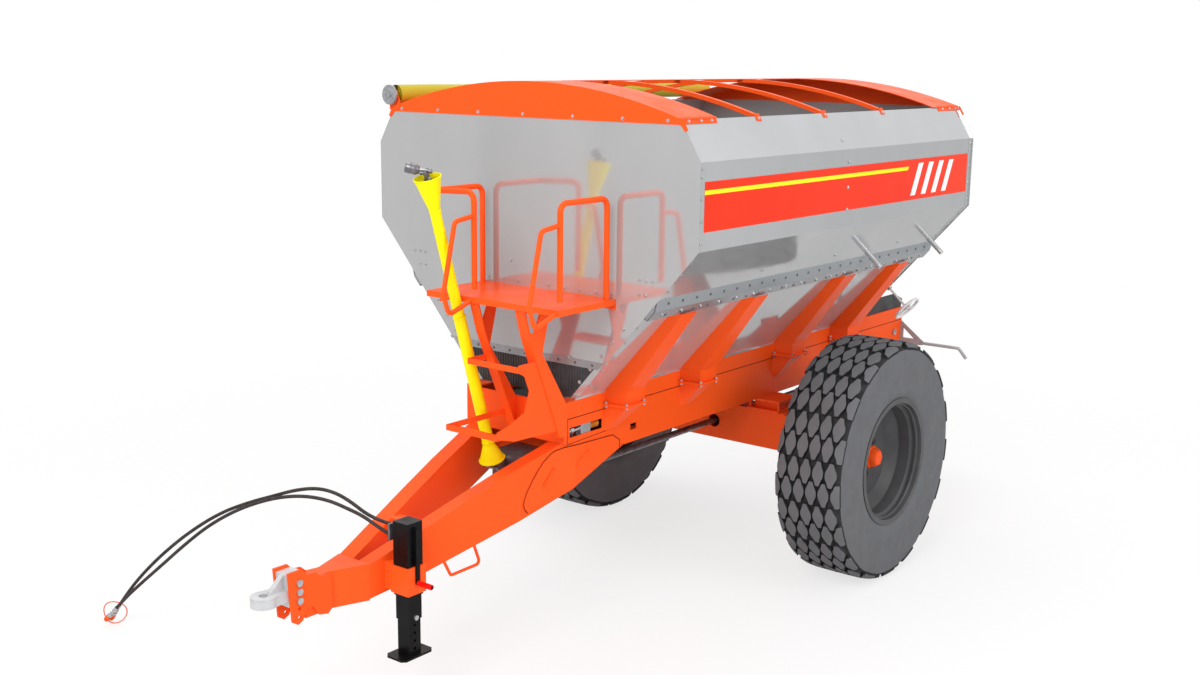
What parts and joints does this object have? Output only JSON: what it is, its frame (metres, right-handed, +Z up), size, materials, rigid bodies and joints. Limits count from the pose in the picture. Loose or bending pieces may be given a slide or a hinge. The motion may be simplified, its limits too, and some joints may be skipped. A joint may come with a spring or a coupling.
{
  "type": "trailed belt spreader",
  "caption": "Trailed belt-floor spreader: steel V hopper on a painted chassis, farm wheels, V drawbar with jack, folded drive shaft, ladder, platform, curved roof frame.",
  "frame": {"origin": "on the ground, midway along the length and width, hoses left out", "axes": "+Z up, -Y towards the hitch, +X to the machine's left side"},
  "size_m": [3.3778, 6.675, 3.3458],
  "materials": {
    "stainless": "satin",
    "orange_paint": "gloss",
    "grey_paint": "satin",
    "black_paint": "satin",
    "zinc": "matte",
    "rim_paint": "satin",
    "hub_paint": "gloss",
    "tyre_rubber": "matte",
    "belt_rubber": "matte",
    "roller_steel": "satin",
    "guard_yellow": "matte",
    "grip_red": "gloss",
    "tarp_cloth": "matte",
    "hose_rubber": "matte",
    "coupler_steel": "satin",
    "cap_orange": "matte"
  },
  "bodies": {
    "frame": {"axle_beam": "orange_paint", "axle_clamps": "orange_paint", "belt_seals": "belt_rubber", "belt_tensioners": "zinc", "chassis_crossmembers": "orange_paint", "chassis_left": "orange_paint", "chassis_right": "orange_paint", "conveyor_belt": "belt_rubber", "coupler_caps": "cap_orange", "drawbar_left": "orange_paint", "drawbar_nose": "orange_paint", "drawbar_right": "orange_paint", "fasteners": "zinc", "front_cap": "orange_paint", "gearbox": "grey_paint", "hitch_plates": "orange_paint", "hopper_front_wall": "stainless", "hopper_rear_wall": "stainless", "hopper_side_left": "stainless", "hopper_side_right": "stainless", "hose_couplers": "coupler_steel", "hose_lower": "hose_rubber", "hose_upper": "hose_rubber", "jack_outer_tube": "black_paint", "jack_sleeve": "orange_paint", "ladder_steps": "orange_paint", "ladder_stringers": "orange_paint", "ledge_rails": "stainless", "platform": "orange_paint", "railings": "orange_paint", "rear_brackets": "zinc", "rear_cap": "orange_paint", "roof_bows": "orange_paint", "side_braces": "orange_paint", "spinner_gearbox": "orange_paint", "tow_eye": "zinc"},
    "wheel_left": {"tyre_left": "tyre_rubber", "rim_left": "rim_paint", "hub_left": "hub_paint"},
    "wheel_right": {"tyre_right": "tyre_rubber", "rim_right": "rim_paint", "hub_right": "hub_paint"},
    "jack_leg": {"jack_inner_tube": "black_paint", "jack_drop_leg": "black_paint", "jack_pin": "zinc"},
    "jack_crank": {"jack_crank": "black_paint"},
    "jack_grip": {"jack_grip": "grip_red"},
    "shaft_lower": {"pto_joint": "zinc", "pto_guard_lower": "guard_yellow"},
    "shaft_upper": {"pto_guard_upper": "guard_yellow"},
    "shaft_yoke": {"pto_yoke": "zinc"},
    "roller_front": {"front_roller": "roller_steel"},
    "roller_rear": {"rear_roller": "roller_steel"},
    "disc_left": {"spinner_disc_left": "stainless"},
    "disc_right": {"spinner_disc_right": "stainless"},
    "drive_shaft": {"drive_shaft": "zinc"},
    "gate": {"feed_gate": "stainless"},
    "handwheel": {"handwheel": "zinc"},
    "tarp": {"tarp_roll": "tarp_cloth", "tarp_tube": "zinc"}
  },
  "joints": [
    {"name": "wheel_left_spin", "type": "hinge", "parent": "frame", "child": "wheel_left", "pos_m": [1.185, 0.9185, 0.82], "axis": [1, 0, 0], "continuous": true},
    {"name": "wheel_right_spin", "type": "hinge", "parent": "frame", "child": "wheel_right", "pos_m": [-1.185, 0.9185, 0.82], "axis": [1, 0, 0], "continuous": true},
    {"name": "jack_slide", "type": "slide", "parent": "frame", "child": "jack_leg", "axis": [0, 0, 1], "range_m": [-0.285, 0.02]},
    {"name": "jack_crank_spin", "type": "hinge", "parent": "frame", "child": "jack_crank", "pos_m": [0.33, -2.5175, 1], "axis": [1, 0, 0], "continuous": true},
    {"name": "jack_grip_spin", "type": "hinge", "parent": "jack_crank", "child": "jack_grip", "pos_m": [0.4, -2.5175, 0.71], "axis": [1, 0, 0], "continuous": true},
    {"name": "shaft_swing", "type": "hinge", "parent": "frame", "child": "shaft_lower", "pos_m": [-0.04, -1.5075, 1.06], "axis": [1, 0, 0], "range_deg": [0, 64]},
    {"name": "shaft_slide", "type": "slide", "parent": "shaft_lower", "child": "shaft_upper", "axis": [-0.0063, -0.2798, 0.96], "range_m": [0, 0.25]},
    {"name": "shaft_spin", "type": "hinge", "parent": "shaft_upper", "child": "shaft_yoke", "pos_m": [-0.05178, -2.03077, 2.85526], "axis": [-0.0063, -0.2798, 0.96], "continuous": true},
    {"name": "roller_rear_spin", "type": "hinge", "parent": "frame", "child": "roller_rear", "pos_m": [0, 2.8475, 1.3], "axis": [1, 0, 0], "continuous": true},
    {"name": "roller_front_spin", "type": "hinge", "parent": "frame", "child": "roller_front", "pos_m": [0, -1.1505, 1.3], "axis": [1, 0, 0], "continuous": true},
    {"name": "disc_left_spin", "type": "hinge", "parent": "frame", "child": "disc_left", "pos_m": [0.33, 3.0375, 0.962], "axis": [0, 0, 1], "continuous": true},
    {"name": "disc_right_spin", "type": "hinge", "parent": "frame", "child": "disc_right", "pos_m": [-0.33, 3.0375, 0.962], "axis": [0, 0, 1], "continuous": true},
    {"name": "drive_shaft_spin", "type": "hinge", "parent": "frame", "child": "drive_shaft", "pos_m": [0, 0.7375, 0.885], "axis": [0, 1, 0], "continuous": true},
    {"name": "gate_slide", "type": "slide", "parent": "frame", "child": "gate", "axis": [0, 0, 1], "range_m": [0, 0.2]},
    {"name": "handwheel_spin", "type": "hinge", "parent": "frame", "child": "handwheel", "pos_m": [0.64852, 2.1875, 1.79043], "axis": [0.7472, 0, -0.6646], "continuous": true},
    {"name": "tarp_spin", "type": "hinge", "parent": "frame", "child": "tarp", "pos_m": [-1.118, 0.4375, 3.238], "axis": [0, 1, 0], "continuous": true}
  ],
  "couplings": [
    {"joint": "jack_crank_spin", "follows": "jack_slide", "rad_per_m": 523.6},
    {"joint": "roller_front_spin", "follows": "roller_rear_spin", "ratio": 1},
    {"joint": "disc_right_spin", "follows": "disc_left_spin", "ratio": -1},
    {"joint": "drive_shaft_spin", "follows": "disc_left_spin", "ratio": 0.75},
    {"joint": "shaft_spin", "follows": "disc_left_spin", "ratio": 0.75},
    {"joint": "handwheel_spin", "follows": "gate_slide", "rad_per_m": 251.33}
  ]
}
